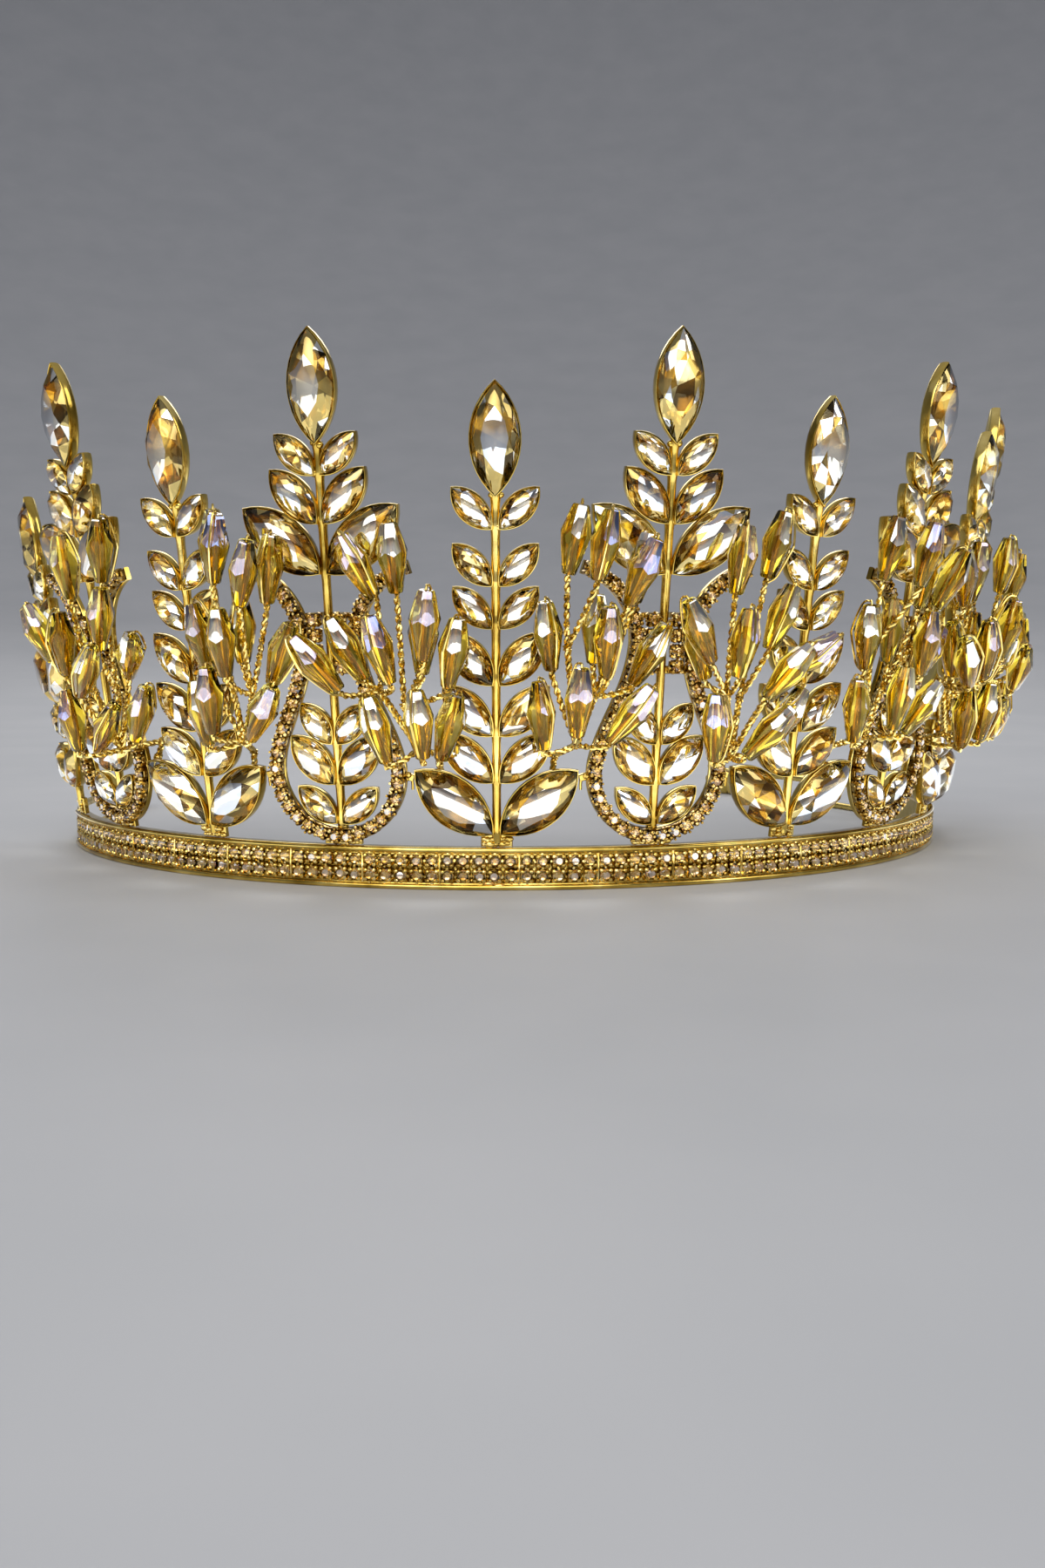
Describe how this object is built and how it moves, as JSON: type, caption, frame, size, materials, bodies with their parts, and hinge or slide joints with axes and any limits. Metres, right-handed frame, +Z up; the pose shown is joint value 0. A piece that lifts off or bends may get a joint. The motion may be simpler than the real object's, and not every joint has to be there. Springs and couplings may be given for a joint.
{
  "type": "bridal henna crown",
  "caption": "Bridal crown: open gilt headband with rhinestone rows, standing leaf castings of navette stones, rhinestone loops and wired sprays of long faceted beads.",
  "frame": {"origin": "on the underside of the band at the middle of its front, half way through its thickness", "axes": "+Z up from the band to the tips of the castings, -Y out of the front, +X to the wearer's left"},
  "size_m": [0.1724, 0.1539, 0.0759],
  "materials": {
    "gold": "polished warm yellow plating",
    "gold_wire": "polished plated wire",
    "champagne_stones": "foil-backed faceted champagne glass",
    "rhinestones": "small round champagne rhinestones in gilt cups",
    "honey_beads": "faceted honey glass with an iridescent coat"
  },
  "bodies": {
    "root": {"headband": "gold", "arm_left": "gold", "arm_right": "gold", "band_pave": "rhinestones", "setting_left_5": "gold", "setting_left_4": "gold", "setting_left_3": "gold", "setting_left_2": "gold", "setting_left_1": "gold", "setting_centre": "gold", "setting_right_1": "gold", "setting_right_2": "gold", "setting_right_3": "gold", "setting_right_4": "gold", "setting_right_5": "gold", "crest_stone_left_5": "champagne_stones", "crest_stone_left_4": "champagne_stones", "crest_stone_left_3": "champagne_stones", "crest_stone_left_2": "champagne_stones", "crest_stone_left_1": "champagne_stones", "crest_stone_centre": "champagne_stones", "crest_stone_right_1": "champagne_stones", "crest_stone_right_2": "champagne_stones", "crest_stone_right_3": "champagne_stones", "crest_stone_right_4": "champagne_stones", "crest_stone_right_5": "champagne_stones", "leaf_stones_left_5": "champagne_stones", "leaf_stones_left_4": "champagne_stones", "leaf_stones_left_3": "champagne_stones", "leaf_stones_left_2": "champagne_stones", "leaf_stones_left_1": "champagne_stones", "leaf_stones_centre": "champagne_stones", "leaf_stones_right_1": "champagne_stones", "leaf_stones_right_2": "champagne_stones", "leaf_stones_right_3": "champagne_stones", "leaf_stones_right_4": "champagne_stones", "leaf_stones_right_5": "champagne_stones", "loop_pave_left_4": "rhinestones", "loop_pave_left_2": "rhinestones", "loop_pave_centre": "rhinestones", "loop_pave_right_2": "rhinestones", "loop_pave_right_4": "rhinestones", "spray_beads_left_4": "honey_beads", "spray_beads_left_3": "honey_beads", "spray_beads_left_2": "honey_beads", "spray_beads_left_1": "honey_beads", "spray_beads_right_1": "honey_beads", "spray_beads_right_2": "honey_beads", "spray_beads_right_3": "honey_beads", "spray_beads_right_4": "honey_beads", "spray_wire_left_4": "gold_wire", "spray_wire_left_3": "gold_wire", "spray_wire_left_2": "gold_wire", "spray_wire_left_1": "gold_wire", "spray_wire_right_1": "gold_wire", "spray_wire_right_2": "gold_wire", "spray_wire_right_3": "gold_wire", "spray_wire_right_4": "gold_wire"}
  },
  "joints": []
}
